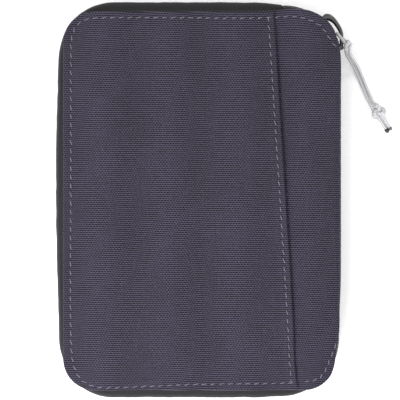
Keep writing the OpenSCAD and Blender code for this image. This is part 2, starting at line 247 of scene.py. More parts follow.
def capped_faces(rows, columns):
    """Faces of a closed ring carried along rows, with a cap on each end."""
    faces = grid_faces(rows, columns, True)
    faces.append(tuple(range(columns)))
    faces.append(tuple((rows - 1) * columns + k for k in reversed(range(columns))))
    return faces


def tube(path, radius, sides, relief=None, first=None):
    """A closed tube along a path. relief(u, v) scales its radius; u runs along, v round it."""
    path = np.asarray(path, float)
    a, b = frames(path, first)
    u = travelled(path)
    v = np.arange(sides) * TURN / sides
    uu, vv = np.meshgrid(u, v, indexing="ij")
    r = np.broadcast_to(np.asarray(radius, float).reshape(-1, 1), uu.shape)
    if relief:
        r = r * relief(uu, vv)
    ring = (path[:, None] + (r * np.cos(vv))[..., None] * a[:, None]
            + (r * np.sin(vv))[..., None] * b[:, None]).reshape(-1, 3)
    uv = np.stack([uu, vv], -1).reshape(-1, 2)
    faces = grid_faces(len(path), sides, True)
    n = len(path)
    ends = np.array([path[0], path[-1]])
    verts = np.vstack([ring, ends])
    uv = np.vstack([uv, [[0, 0], [u[-1], 0]]])
    for k in range(sides):
        j = (k + 1) % sides
        faces.append((n * sides, k, j))
        faces.append((n * sides + 1, (n - 1) * sides + j, (n - 1) * sides + k))
    return verts, faces, uv


def rounded_ends(path, radius, steps=4):
    """The path's points and radii with both ends closed by a half ball inside its length."""
    along = travelled(path)
    end = along[-1]
    t = np.linspace(0, math.pi / 2, steps + 1)[:-1]
    lead = radius * (1 - np.cos(t))
    inside = along[(along > radius) & (along < end - radius)]
    at = np.r_[lead, inside, end - lead[::-1]]
    edge = np.minimum(at, end - at)
    r = radius * np.sqrt(np.clip(1 - (1 - np.minimum(edge / radius, 1)) ** 2, 0.01, 1))
    return points_at(at, along, path), r


def sweep(base, outward, along, profile):
    """A closed solid: a closed (s, z) profile, or one for each station, carried along."""
    profile = np.asarray(profile, float)
    n, m = len(base), profile.shape[-2]
    profile = np.broadcast_to(profile, (n, m, 2))
    xy = base[:, None] + outward[:, None] * profile[..., :1]
    verts = np.concatenate([xy, profile[..., 1:]], -1).reshape(-1, 3)
    uv = np.stack(np.meshgrid(along, travelled(profile[0]), indexing="ij"), -1).reshape(-1, 2)
    return verts, capped_faces(n, m), uv


def soften(profile, rounds=2):
    """A closed profile with its corners cut, twice by default."""
    p = np.asarray(profile, float)
    for _ in range(rounds):
        q = np.roll(p, -1, 0)
        p = np.stack([0.75 * p + 0.25 * q, 0.25 * p + 0.75 * q], 1).reshape(-1, 2)
    return p


def off_segments(p, a, b):
    """Distance from each point to the nearest of the segments from a to b."""
    d = b - a
    t = np.clip(((p - a) * d).sum(-1) / (d * d).sum(-1), 0, 1)
    return np.linalg.norm(p - a - t[..., None] * d, axis=-1).min(1)


def depth(points, outline):
    """Distance of each point inside an outline, negative outside it."""
    a, b = outline, np.roll(outline, -1, 0)
    d = b - a
    out = np.zeros(len(points))
    for i in range(0, len(points), CHUNK):
        p = points[i:i + CHUNK, None]
        near = off_segments(p, a, b)
        crosses = (a[:, 1] > p[..., 1]) != (b[:, 1] > p[..., 1])
        slope = np.where(d[:, 1] == 0, 1, d[:, 1])
        right = p[..., 0] < a[:, 0] + (p[..., 1] - a[:, 1]) * d[:, 0] / slope
        inside = (crosses & right).sum(1) % 2 == 1
        out[i:i + CHUNK] = np.where(inside, near, -near)
    return out


def lay_out(outline, insets, spacing, extra=()):
    """Flat points and triangles that fill an outline, closer together near its edge, and the
    outline's own points among them."""
    outline = np.asarray(outline, float)
    inward = unit(np.roll(outline, -1, 0) - np.roll(outline, 1, 0))[:, ::-1] * [-1, 1]
    rings = [outline]
    for inset in insets:
        ring = outline + inward * inset
        keep = depth(ring, outline) > inset - 0.04
        rings.append(ring[keep])
    low, high = outline.min(0), outline.max(0)
    xs = np.arange(low[0], high[0], spacing)
    ys = np.arange(low[1], high[1], spacing * 0.95)
    gx, gy = np.meshgrid(xs, ys)
    gx = gx + (np.arange(len(ys)) % 2)[:, None] * spacing / 2
    inner = np.stack([gx, gy], -1).reshape(-1, 2)
    inner = inner[depth(inner, outline) > insets[-1] + spacing * 0.4]
    for run in extra:
        apart = np.linalg.norm(inner[:, None] - run, axis=-1).min(1)
        inner = inner[apart > spacing * 0.35]
    points = np.vstack(rings + [inner, *extra])
    n = len(outline)
    done = delaunay_2d_cdt(points.tolist(), [], [list(range(n))], 1, 1e-5)
    verts = np.array([tuple(v) for v in done[0]])
    order = {}
    for i, origins in enumerate(done[3]):
        for k in origins:
            order[k] = i
    faces = [f if area2(verts, f) > 0 else f[::-1] for f in done[2]]
    return verts, faces, [order[i] for i in range(n)]


def area2(v, f):
    """Twice a flat triangle's area, negative where it turns clockwise."""
    a, b, c = (v[i] for i in f[:3])
    return (b[0] - a[0]) * (c[1] - a[1]) - (b[1] - a[1]) * (c[0] - a[0])


def point_normals(verts, faces):
    normals = np.zeros_like(verts)
    for f in faces:
        p = verts[list(f)]
        n = np.cross(p[1] - p[0], p[2] - p[0])
        if len(f) == 4:
            n = n + np.cross(p[2] - p[0], p[3] - p[0])
        for i in f:
            normals[i] += n
    return unit(normals)


def thicken(verts, faces, uv, thickness):
    """A closed solid from an open skin, with its thickness behind the skin's face."""
    n = len(verts)
    inner = verts - point_normals(verts, faces) * np.reshape(thickness, (-1, 1))
    seen = {}
    for f in faces:
        for k, i in enumerate(f):
            seen[(i, f[(k + 1) % len(f)])] = True
    rim = [(j, i, i + n, j + n) for i, j in seen if (j, i) not in seen]
    back = [tuple(i + n for i in reversed(f)) for f in faces]
    return np.vstack([verts, inner]), list(faces) + back + rim, np.vstack([uv, uv])


def arc_points(cx, cy, r, start, end, step):
    n = max(4, int(abs(math.radians(end - start)) * r / step))
    a = np.radians(np.linspace(start, end, n + 1))
    return np.c_[cx + r * np.cos(a), cy + r * np.sin(a)]


def line_points(p, q, step):
    p, q = np.array(p, float), np.array(q, float)
    n = max(1, int(round(np.linalg.norm(q - p) / step)))
    return p + (q - p) * np.linspace(0, 1, n + 1)[:, None]


def chain(parts):
    """Runs of points joined end to end, without doubled points."""
    p = undoubled(np.vstack(parts))
    return p[:-1] if np.linalg.norm(p[0] - p[-1]) < 1e-6 else p


def rounded(x0, x1, y0, y1, rl, rr, step, bends=()):
    """Outline of a rectangle with one radius on its left corners and one on its right, where
    its side may run through bends."""
    right = [(x1, y0 + rr), *bends, (x1, y1 - rr)]
    parts = [line_points(a, b, step) for a, b in zip(right, right[1:])]
    parts += [
        arc_points(x1 - rr, y1 - rr, rr, 0, 90, step),
        line_points((x1 - rr, y1), (x0 + rl, y1), step),
        arc_points(x0 + rl, y1 - rl, rl, 90, 180, step),
        line_points((x0, y1 - rl), (x0, y0 + rl), step),
        arc_points(x0 + rl, y0 + rl, rl, 180, 270, step),
        line_points((x0 + rl, y0), (x1 - rr, y0), step),
        arc_points(x1 - rr, y0 + rr, rr, 270, 360, step),
    ]
    return chain(parts)


def hem_x(y):
    return HEM_MID - np.asarray(y) * HEM_SLOPE


def inside_hem(xy):
    """Distance of each point to the left of the pocket's slanting edge."""
    return hem_x(xy[:, 1]) - xy[:, 0]


def cut_at_hem(outline):
    """The part of an outline left of the pocket's slanting edge."""
    side = -inside_hem(outline)
    inside = side < 0
    start = next(i for i in range(len(outline)) if inside[i] and not inside[i - 1])
    order = [(start + k) % len(outline) for k in range(len(outline))]
    run = [outline[i] for i in order if inside[i]]

    def crossing(i, j):
        t = side[i] / (side[i] - side[j])
        return outline[i] + (outline[j] - outline[i]) * t

    last = order[len(run) - 1]
    first_cut = crossing(start - 1, start)
    last_cut = crossing(last, (last + 1) % len(outline))
    hem = line_points(last_cut, first_cut, OUTLINE_STEP)
    return chain([np.array(run), hem, run[0][None]])


def waves(x, y, seed, size, amount):
    """Slow uneven swelling of a soft surface."""
    rng = np.random.default_rng(seed)
    total = np.zeros(np.shape(x))
    for k in range(7):
        turn = rng.uniform(0, TURN)
        length = size * rng.uniform(0.6, 1.6)
        phase = rng.uniform(0, TURN)
        total += np.sin((x * math.cos(turn) + y * math.sin(turn)) * TURN / length + phase)
    return amount * total / 7 ** 0.5


def rolled(d, r):
    """How far a rounded edge of radius r falls, at a distance d inside it."""
    e = np.clip(r - d, 0, r)
    return r - np.sqrt(np.maximum(r * r - e * e, 0))


def ease(t):
    """0 below 0, 1 above 1, and a smooth rise between."""
    t = np.clip(t, 0, 1)
    return t * t * (3 - 2 * t)


# ---------- materials ----------

def srgb(r, g, b):
    return tuple(((c / 255 + 0.055) / 1.055) ** 2.4 if c > 10 else c / 255 / 12.92
                 for c in (r, g, b)) + (1.0,)


class Nodes:
    """A material's nodes, each made in one call."""

    def __init__(self, name):
        self.material = bpy.data.materials.new(name)
        self.material.use_nodes = True
        self.tree = self.material.node_tree
        self.shader = self.tree.nodes["Principled BSDF"]

    def add(self, kind, inputs=(), **settings):
        node = self.tree.nodes.new("ShaderNode" + kind)
        for key, value in settings.items():
            setattr(node, key, value)
        for key, value in dict(inputs).items():
            self.put(node.inputs[key], value)
        return node

    def put(self, socket, value):
        if isinstance(value, bpy.types.NodeSocket):
            self.tree.links.new(value, socket)
        else:
            socket.default_value = value

    def math(self, operation, a, b=0.0, c=0.0):
        return self.add("Math", {0: a, 1: b, 2: c}, operation=operation).outputs[0]

    def wave(self, at, period):
        """Cosine of a coordinate, one turn to a period."""
        return self.math("COSINE", self.math("MULTIPLY", at, TURN / period))

    def stirred(self, level, noise, amount):
        """A level moved up and down by noise about its middle."""
        move = self.math("MULTIPLY", self.math("SUBTRACT", noise, 0.5), amount)
        return self.math("ADD", level, move)

    def cloth(self):
        """The cloth coordinates, in millimetres, as one vector and as u and v."""
        at = self.add("UVMap", uv_map="cloth").outputs[0]
        parts = self.add("SeparateXYZ", {0: at})
        return at, parts.outputs[0], parts.outputs[1]

    def noise(self, at, scale, detail=2.0, stretch=(1, 1, 1)):
        if stretch != (1, 1, 1):
            at = self.add("VectorMath", {0: at, 1: stretch}, operation="MULTIPLY").outputs[0]
        return self.add("TexNoise", {"Vector": at, "Scale": scale, "Detail": detail}).outputs[0]

    def ramp(self, at, *stops):
        node = self.add("ValToRGB", {0: at})
        points = node.color_ramp.elements
        while len(points) < len(stops):
            points.new(0.5)
        for point, (place_at, colour) in zip(points, stops):
            point.position = place_at
            point.color = colour
        return node.outputs[0]

    def mix(self, share, a, b, blend="MIX"):
        node = self.add("Mix", data_type="RGBA", blend_type=blend)
        self.put(node.inputs[0], share)
        self.put(node.inputs[6], a)
        self.put(node.inputs[7], b)
        return node.outputs[2]

    def fibre(self, level, dark, light, bump, strength, **values):
        """A finish whose colour and relief both follow one level, so its colour is darker where
        the relief is low: painted shade in the grooves.
        """
        # painted shade: the low parts of the relief take the dark colour
        colour = self.ramp(level, (0.0, dark), (1.0, light))
        return self.done(colour, level, bump, strength, **values)

    def done(self, colour, height=None, distance=0.1, strength=1.0, **values):
        self.put(self.shader.inputs["Base Color"], colour)
        for key, value in values.items():
            self.put(self.shader.inputs[key.replace("_", " ")], value)
        if height is not None:
            bump = self.add("Bump", {"Height": height, "Distance": distance * MM,
                                     "Strength": strength})
            self.put(self.shader.inputs["Normal"], bump.outputs[0])
        return self.material


def woven(name, dark, light, across, rise, mottle, contrast, bump, rough):
    """Plain weave, one float across and one row up, with drifting and uneven yarns. Painted sheen
    makes floats of one direction lighter, and painted shade darkens the gaps between rows; the
    yarns' unevenness and the broad patches are random tone.
    """
    n = Nodes(name)
    at, u, v = n.cloth()
    drift = n.noise(at, 0.16, 1.0)
    sway = n.noise(at, 0.022, 1.0)
    u = n.math("ADD", u, n.math("MULTIPLY", drift, 0.9))
    v = n.math("ADD", v, n.math("MULTIPLY", sway, 2.2))
    over = n.math("MULTIPLY", n.wave(u, across), n.wave(v, 2 * rise))
    row = n.wave(n.math("ADD", v, n.math("MULTIPLY", u, 0.03)), rise)
    yarn = n.noise(at, 1.0, 2.0, (0.12, 1.6, 1))
    warp = n.noise(at, 1.0, 2.0, (1.3, 0.1, 1))
    # painted sheen on the floats and painted shade between the rows, which the colour ramp below
    # follows
    level = n.math("MULTIPLY_ADD", over, contrast * 0.85, 0.5)
    level = n.math("ADD", level, n.math("MULTIPLY", row, contrast))
    level = n.stirred(n.stirred(level, yarn, 1.1), warp, 0.7)
    colour = n.ramp(level, (0.0, dark), (1.0, light))
    patch = n.noise(at, 0.045, 3.0)
    shade = n.ramp(patch, (0.3, (1 - mottle,) * 3 + (1,)), (0.7, (1 + mottle,) * 3 + (1,)))
    colour = n.mix(1.0, colour, shade, "MULTIPLY")
    return n.done(colour, level, bump, 0.9, Roughness=rough, Sheen_Weight=0.05,
                  Sheen_Roughness=0.5, Specular_IOR_Level=0.15)


def twill(name, dark, light, pitch):
    """Fine diagonal ribs across a woven tape."""
    n = Nodes(name)
    at, u, v = n.cloth()
    rib = n.wave(n.math("ADD", u, v), pitch)
    pick = n.wave(n.math("SUBTRACT", u, v), pitch * 0.9)
    level = n.math("MULTIPLY_ADD", rib, 0.32, 0.5)
    level = n.math("ADD", level, n.math("MULTIPLY", pick, 0.1))
    level = n.stirred(level, n.noise(at, 1.2), 0.5)
    return n.fibre(level, dark, light, 0.1, 0.8, Roughness=0.7, Sheen_Weight=0.4,
                   Sheen_Roughness=0.35, Specular_IOR_Level=0.25)


def ribbed(name, dark, light, pitch):
    """Grosgrain binding: ribs across the tape."""
    n = Nodes(name)
    at, u, _ = n.cloth()
    level = n.math("MULTIPLY_ADD", n.wave(u, pitch), 0.4, 0.5)
    level = n.stirred(level, n.noise(at, 2.0), 0.4)
    return n.fibre(level, dark, light, 0.12, 0.8, Roughness=0.66, Specular_IOR_Level=0.3)


def moulded(name, dark, light, rough, grain, bump, **values):
    """A nylon or painted surface with faint grain and worn highlights."""
    n = Nodes(name)
    at = n.cloth()[0]
    fine = n.noise(at, grain, 3.0)
    broad = n.noise(at, grain * 0.15, 2.0)
    level = n.math("ADD", n.math("MULTIPLY", fine, 0.5), n.math("MULTIPLY", broad, 0.5))
    colour = n.ramp(level, (0.35, dark), (0.7, light))
    uneven = n.math("MULTIPLY_ADD", fine, 0.12, rough - 0.06)
    return n.done(colour, fine, bump, 0.6, Roughness=uneven, **values)


def plied(name, dark, light, pitch, slope):
    """Twisted thread: slanting plies round a thin tube."""
    n = Nodes(name)
    _, u, v = n.cloth()
    turn = n.math("ADD", n.math("MULTIPLY", u, TURN / pitch), n.math("MULTIPLY", v, slope))
    level = n.math("MULTIPLY_ADD", n.math("COSINE", turn), 0.4, 0.5)
    return n.fibre(level, dark, light, 0.06, 0.7, Roughness=0.6, Sheen_Weight=0.1)


BRAID_STRANDS = 6
BRAID_PITCH = 1.5


def braided(name, dark, light):
    """Diamond braid on a cord, u along it and v round it."""
    n = Nodes(name)
    at, u, v = n.cloth()
    along = n.math("MULTIPLY", u, TURN / BRAID_PITCH)
    round_it = n.math("MULTIPLY", v, BRAID_STRANDS / 2)
    one = n.math("COSINE", n.math("ADD", along, round_it))
    two = n.math("COSINE", n.math("SUBTRACT", along, round_it))
    level = n.math("MULTIPLY_ADD", n.math("MULTIPLY", one, two), 0.35, 0.5)
    level = n.stirred(level, n.noise(at, 3.0, 3.0, (1, 0.6, 1)), 0.6)
    return n.fibre(level, dark, light, 0.08, 0.8, Roughness=0.7, Sheen_Weight=0.2)


shell_cloth = woven("shell_cloth", srgb(1, 1, 2), srgb(61, 56, 74), across=1.06, rise=0.77,
                    mottle=0.08, contrast=1.5, bump=0.1, rough=0.62)
lining_cloth = woven("lining_cloth", srgb(39, 39, 43), srgb(70, 70, 76), across=0.5, rise=0.32,
                     mottle=0.05, contrast=0.4, bump=0.04, rough=0.5)
tape_twill = twill("tape_twill", srgb(6, 6, 7), srgb(34, 34, 37), 0.8)
binding_rib = ribbed("binding_rib", srgb(21, 21, 22), srgb(46, 46, 50), 0.6)
coil_nylon = moulded("coil_nylon", srgb(21, 21, 23), srgb(35, 35, 39), 0.38, 3.0, 0.02)
thread_ply = plied("thread_ply", srgb(63, 60, 70), srgb(103, 99, 113), 0.55, 1.0)
cord_braid = braided("cord_braid", srgb(96, 95, 99), srgb(214, 213, 216))
slider_paint = moulded("slider_paint", srgb(17, 17, 19), srgb(33, 33, 36), 0.26, 2.0, 0.012,
                       Metallic=0.25, Coat_Weight=0.5, Coat_Roughness=0.15)
stop_metal = moulded("stop_metal", srgb(53, 53, 55), srgb(81, 81, 83), 0.35, 2.0, 0.01,
                     Metallic=1.0)
tip_black = moulded("tip_black", srgb(13, 12, 13), srgb(35, 33, 35), 0.4, 2.5, 0.05)
tip_grey = moulded("tip_grey", srgb(66, 64, 68), srgb(104, 102, 106), 0.45, 2.5, 0.05)
board_fibre = moulded("board_fibre", srgb(172, 172, 166), srgb(194, 194, 188), 0.8, 0.8, 0.05)


# ---------- pull cord: made before the rest of the object ----------

CORD = 1.2
CORD_STEP = 0.14
COLLAR_STRAND = 0.66
KNOT_STRAND = 0.62
CORD_EXIT = (52.4, 63.4, 10)
UPPER_ROUTE = [
    CORD_EXIT, (52.4, 63.4, 11), (52.7, 62.9, 12.2), (54, 61.2, 12.4), (55.4, 59, 12.6),
    (55.5, 57.2, 12.2), (55.9, 55.6, 10.2), (56.8, 54, 7.2), (57.8, 52.6, 4.6),
    (58.9, 51, 2.6), (59.9, 49, 1.2), (61.2, 46.2, 0.7), (62.4, 43.2, 0.7), (63.7, 40, 0.9),
    (65, 37.2, 1.6), (66.2, 35, 2.4), (67.6, 32.8, 2.6), (69, 30.6, 1.8), (70.5, 28.3, 1),
    (71.9, 26.2, 0.9),
]
LOWER_ROUTE = [
    CORD_EXIT, (52.4, 63.4, 9), (52.8, 62.9, 7.8), (54.2, 61.7, 7.5), (56.4, 60.2, 7.7),
    (57.5, 59.4, 9.2), (57.3, 58.8, 11.4), (57, 57.6, 12.3), (57.1, 56, 10.8),
    (58, 54.4, 8), (59.2, 52.8, 5.2), (60.3, 51.2, 2.8), (61.4, 49, 1.2),
    (62.6, 46.2, 0.7), (63.8, 43.2, 0.7), (65, 40.4, 0.9), (66.2, 37.6, 1.7),
    (67.3, 35.6, 2.6), (68.8, 33.2, 3), (70.4, 31, 2), (71.9, 28.9, 1), (73.2, 27, 0.86),
]
COLLAR_AT = (56, 58.9, 12.8)
COLLAR_TURN = math.radians(58)
KNOT_AT = (68.1, 34, 2.6)
KNOT_TURN = math.radians(-58)


def braid_relief(u, v):
    along, round_it = u * TURN / BRAID_PITCH, v * BRAID_STRANDS / 2
    return 1 + 0.05 * np.cos(along + round_it) * np.cos(along - round_it)


def cord_tube(path, radius=CORD / 2, sides=24, step=CORD_STEP):
    return tube(resample(path, step), radius, sides, braid_relief)


def route_line(route):
    """The route as a smooth line, kept its own radius clear of the surface that it lies on."""
    path = smooth_line(route, CORD_STEP)
    path[:, 2] = np.maximum(path[:, 2], CORD / 2 + 0.03)
    return path


def turned(points, at, turn):
    """Points carried to a place, after a turn about Z."""
    p, c, s = points, math.cos(turn), math.sin(turn)
    return np.c_[p[:, 0] * c - p[:, 1] * s, p[:, 0] * s + p[:, 1] * c, p[:, 2]] + at


def collar_line():
    """A little over one and a half turns of cord round both strands, drawn tight."""
    t = np.linspace(-0.55, 1.05, 160) * TURN
    line = np.c_[1.4 * np.cos(t), 0.45 * t / TURN, 1.05 * np.sin(t) - 0.2]
    return turned(line, COLLAR_AT, COLLAR_TURN)


def knot_line(shift):
    """A trefoil pulled long, for one of the two strands of the overhand knot."""
    t = np.linspace(0.0, 1.0, 320) * TURN
    across = np.sin(t) + 2 * np.sin(2 * t)
    along = np.cos(t) - 2 * np.cos(2 * t)
    lift = -np.sin(3 * t)
    squeeze = 1 - shift * 0.16
    line = np.c_[along * 0.85 * squeeze, across * 0.74 * squeeze, lift * 0.8 + shift * 0.35]
    return turned(line, KNOT_AT, KNOT_TURN)


upper_path = route_line(UPPER_ROUTE)
lower_path = route_line(LOWER_ROUTE)
pull_cord_upper = make("cord_upper_half", *cord_tube(upper_path), cord_braid)
pull_cord_lower = make("cord_lower_half", *cord_tube(lower_path), cord_braid)
cord_collar = make("cord_half_knot", *cord_tube(collar_line(), COLLAR_STRAND), cord_braid)
knot_parts = [cord_tube(knot_line(shift), KNOT_STRAND, 16, 0.2) for shift in (-1, 1)]
cord_knot = make("cord_overhand_knot", *join(knot_parts), cord_braid)


def cut_tip(path, radius, length, proud):
    """A melted or crimped end closed over the last of a cord."""
    ahead = unit(path[-1] - path[-6])
    line = np.array([path[-1] + ahead * d for d in np.linspace(-length, proud, 14)])
    line, r = rounded_ends(line, radius, 5)
    return tube(line, r, 20)


cord_tip_melted = make("cord_tip_melted", *cut_tip(upper_path, 0.82, 1.4, 0.6), tip_black)
cord_tip_crimped = make("cord_tip_crimped", *cut_tip(lower_path, 0.78, 1.2, 0.4), tip_grey)

for ob, node in ((pull_cord_upper, "pull_cord_upper"), (pull_cord_lower, "pull_cord_lower"),
                 (cord_collar, "pull_collar"), (cord_knot, "pull_knot")):
    place(ob, "pull", "pull_cord", node)
for ob in (cord_tip_melted, cord_tip_crimped):
    place(ob, "pull", "pull_cord")


# ---------- slider ----------

PLATE_OUT = ZIP_CORNER_RIGHT + 0.2
BRIDGE_OUTER = [(-0.1, 0.2), (0.9, 1), (1.2, 3.5), (1.6, 6.5), (2.1, 10), (2.9, 15), (3.2, 19),
                (3.3, 25), (3.3, 31), (2.8, 35.7), (1.6, 38.6), (-0.1, 39)]
BRIDGE_INNER = [(-0.1, 5.6), (0.15, 6.8), (0.5, 10), (1.15, 14), (1.5, 18), (1.5, 24),
                (1.2, 29), (0.5, 32.4), (-0.1, 33.4)]
PLATE_HALF = 4.3
PLATE_FLARE = 0.22
SLIDER_FROM = 10
SLIDER_TO = 49


def about_corner(radius, degrees):
    a = np.radians(degrees)
    return SLIDER_AT + np.stack([radius * np.cos(a), radius * np.sin(a)], -1)


def loft(rings):
    """A closed solid through closed rings of equal count."""
    rings = np.asarray(rings, float)
    n, m = rings.shape[:2]
    uv = np.stack(np.meshgrid(np.arange(n) * 0.3, np.arange(m) * 0.3, indexing="ij"), -1)
    return rings.reshape(-1, 3), capped_faces(n, m), uv.reshape(-1, 2)


def superellipse(count, power):
    t = np.arange(count) * TURN / count
    c, s = np.cos(t), np.sin(t)
    return np.sign(c) * abs(c) ** (2 / power), np.sign(s) * abs(s) ** (2 / power)


def bridge_rings():
    lines = []
    for side in (BRIDGE_OUTER, BRIDGE_INNER):
        h, a = np.array(side, float).T
        flat = about_corner(PLATE_OUT + h, SLIDER_FROM + a)
        line = smooth_line(flat, 0.05)
        at = np.linspace(0, len(line) - 1, 60)
        lines.append(points_at(at, np.arange(len(line)), line))
    c, s = superellipse(28, 3.0)
    rings = []
    for outer, inner in zip(*lines):
        middle, half = (outer + inner) / 2, (outer - inner) / 2
        xy = middle + c[:, None] * half
        rings.append(np.c_[xy, ZIP_MID + 1.5 * s])
    return rings


def plate_rings(inner, outer):
    """One curved plate of the slider, wider at its shoulders, with rounded ends."""
    c, s = superellipse(32, 4.5)
    rings = []
    for t in np.linspace(0, 1, 30):
        end = min(t, 1 - t) / 0.14
        close = math.sqrt(max(1 - (1 - min(end, 1)) ** 2, 0.02))
        wide = PLATE_HALF * (1 - PLATE_FLARE * ease((t - 0.25) / 0.6)) * (0.45 + 0.55 * close)
        r = (inner + outer) / 2 + c * (outer - inner) / 2 * (0.5 + 0.5 * close)
        xy = about_corner(r, SLIDER_FROM + t * (SLIDER_TO - SLIDER_FROM))
        rings.append(np.c_[xy, ZIP_MID + wide * s])
    return rings


def post_rings():
    c, s = superellipse(24, 2.4)
    rings = []
    for r in np.linspace(ZIP_CORNER_RIGHT - 3.6, ZIP_CORNER_RIGHT - 0.6, 6):
        xy = about_corner(np.full(24, r), SLIDER_FROM + 5.5 + 4.4 * c)
        rings.append(np.c_[xy, ZIP_MID + 0.4 * s])
    return rings


slider_parts = [
    loft(plate_rings(ZIP_CORNER_RIGHT - 0.7, PLATE_OUT)),
    loft(plate_rings(ZIP_CORNER_RIGHT - 4.6, ZIP_CORNER_RIGHT - 3.5)),
    loft(post_rings()),
]
add("slider_plates", join(slider_parts), slider_paint, "slider", "slider_metal", "slider_body")
add("slider_bow", loft(bridge_rings()), slider_paint, "slider", "slider_metal", "slider_bridge")


# ---------- stitch lines ----------

STITCH_PITCH = 3.3
STITCH_SHARE = 0.62
THREAD = 0.19


def from_corner(corner, offsets):
    return [(corner[0] + dx, corner[1] + dy) for dx, dy in offsets]


EDGE_LINE = (
    from_corner((X1, Y0), [(-0.6, 18.6), (-1.0, 15.3), (-3.1, 10.2), (-5.3, 6.6), (-8.4, 4.2),
                           (-16.7, 3.1)])
    + from_corner((X0, Y0), [(50, 2.3), (13.7, 1.2), (10.3, 1.85), (8, 3.2), (6.1, 4.75),
                             (4.6, 7.75), (3.7, 10.85), (3.1, 17.2)])
    + from_corner((X0, Y1), [(3, -50), (3, -16), (3.1, -11.4), (3.8, -7.4), (5.7, -4.5),
                             (8.5, -2.9), (12, -2.45)])
    + from_corner((X1, Y1), [(-50, -2.4), (-16, -3.1), (-8.4, -4.9), (-3.8, -9.7),
                             (-1.2, -14)])
)


def needle_holes(points):
    return resample(smooth_line(points, 0.2), STITCH_PITCH)


edge_holes = needle_holes(EDGE_LINE)
hem_holes = needle_holes([(hem_x(y) - 2.15, y) for y in np.linspace(Y0 + 1.8, Y1 - 1.4, 5)])


def dips(xy, holes, deep=0.3, wide=0.75):
    """How far the cloth is drawn down at the needle holes and along the seam."""
    total = np.zeros(len(xy))
    for i in range(0, len(xy), CHUNK):
        p = xy[i:i + CHUNK, None]
        near = np.linalg.norm(p - holes, axis=-1)
        off = off_segments(p, holes[:-1], holes[1:])
        total[i:i + CHUNK] = (np.exp(-near ** 2 / (2 * wide ** 2)).sum(1)
                              + 0.45 * np.exp(-off ** 2 / (2 * 0.8 ** 2)))
    return deep * np.minimum(total, 1.4) / 1.4


def stitches(holes, height, facing=1, skip=None, seed=5):
    """Thread seen between each pair of needle holes, sunk at both ends."""
    rng = np.random.default_rng(seed)
    parts = []
    for a, b in zip(holes, holes[1:]):
        d = b - a
        side = np.array([-d[1], d[0]]) * (rng.normal(0, 0.03) + 0.07)
        gap = (1 - STITCH_SHARE) / 2 + rng.normal(0, 0.015)
        if skip is not None and skip((a + b) / 2):
            continue
        t = np.linspace(0, 1, 9)
        xy = a + d * gap + d * (1 - 2 * gap) * t[:, None] + side * (2 * t[:, None] - 1)
        z = height(xy) + facing * (0.3 * np.sin(t * math.pi) ** 0.6 - 0.22)
        line, r = rounded_ends(np.c_[xy, z], THREAD * 0.9, 3)
        parts.append(tube(line, r, 8))
    return join(parts)


# ---------- covers ----------

EDGE_ROLL = 0.5
GROOVE = 0.52
SPINE_ROWS = 8
HEM_ROWS = (-1.8, -1.1, -0.6, -0.25, 0.1, 0.4, 0.7, 1.1, 1.7)
EDGE_INSETS = (0.04, 0.15, 0.35, 0.65, 1.0, 1.5, 2.0, 2.5, 3.0, 3.5, 4.2, 5.2)


def gauss(x, middle, wide):
    return np.exp(-((x - middle) / wide) ** 2)


def settle(xy):
    """The covers' corners as the cloth draws them in, a little off the cut line."""
    x, y = xy[:, 0], xy[:, 1]
    right = ease((x - 30) / 18)
    dx = -right * (0.3 + 0.8 * gauss(y, 61, 5) + 1.9 * gauss(y, -60, 8)
                   + 0.5 * gauss(y, -44, 9))
    dy = ease((y - 55) / 14) * 1.1 * gauss(x, 36, 8)
    return np.c_[x + dx, y + dy]


def fold_radius(y):
    """The spine fold's rounding, smaller towards the ends of the spine."""
    return EDGE_ROLL + (FOLD_RADIUS - EDGE_ROLL) * ease((SPINE_HALF - abs(y)) / 9)


def swell(x, y, seed):
    """The stuffed unevenness of a cover's face."""
    return waves(x, y, seed, 38, 0.10) + waves(x, y, seed + 1, 14, 0.035)


def shell_sink(xy, d, seed, under_hem):
    """Depth of a cover's outer cloth below its highest face."""
    x, y = xy.T
    radius = np.where(abs(y) < SPINE_HALF + 0.01, fold_radius(y), EDGE_ROLL)
    sink = np.maximum(rolled(d, EDGE_ROLL), rolled(X1 - x, radius))
    flat = ease((d - 1) / 6)
    by_hem = under_hem * gauss(x, hem_x(y) + 0.25, 0.72)
    flat = flat * (1 - under_hem * gauss(x, hem_x(y), 3))
    return np.maximum(sink + GROOVE * by_hem + flat * (0.12 - swell(x, y, seed)), 0) \
        + dips(xy, edge_holes)


def shell(name, seed, outer_z, facing, wall, under_hem=0):
    """One cover's outer cloth, carried on round the spine's fold to the middle of the spine."""
    outline = rounded(X0, X1, Y0, Y1, CORNER_LEFT, CORNER_RIGHT, OUTLINE_STEP,
                      [(X1, -SPINE_HALF), (X1, SPINE_HALF)])
    ys = np.arange(Y0 + 6, Y1 - 6, OUTLINE_STEP)
    beside = [np.c_[hem_x(ys) + off, ys] for off in HEM_ROWS] if under_hem else []
    xy, faces, edge = lay_out(outline, EDGE_INSETS, 2.2, beside)
    d = np.maximum(depth(xy, outline), 0)
    sink = shell_sink(xy, d, seed, under_hem)
    flat = settle(xy)
    verts = np.c_[flat, sink]
    uv = xy.copy()
    columns = [i for i in edge if xy[i, 0] > X1 - 1e-4 and abs(xy[i, 1]) < SPINE_HALF + 1e-3]
    columns.sort(key=lambda i: xy[i, 1])
    before, top = columns, verts[columns, 2]
    for k in range(1, SPINE_ROWS + 1):
        level = top + (wall - top) * k / SPINE_ROWS
        here = list(range(len(verts), len(verts) + len(columns)))
        verts = np.vstack([verts, np.c_[flat[columns], level]])
        uv = np.vstack([uv, np.c_[X1 + level, xy[columns, 1]]])
        faces += [(a, b, d, c) for a, b, c, d in zip(before, here, before[1:], here[1:])]
        before = here
    verts[:, 2] = outer_z - facing * verts[:, 2]
    if facing < 0:
        faces = [f[::-1] for f in faces]
    return make(name, *thicken(verts, faces, uv, CLOTH), shell_cloth)


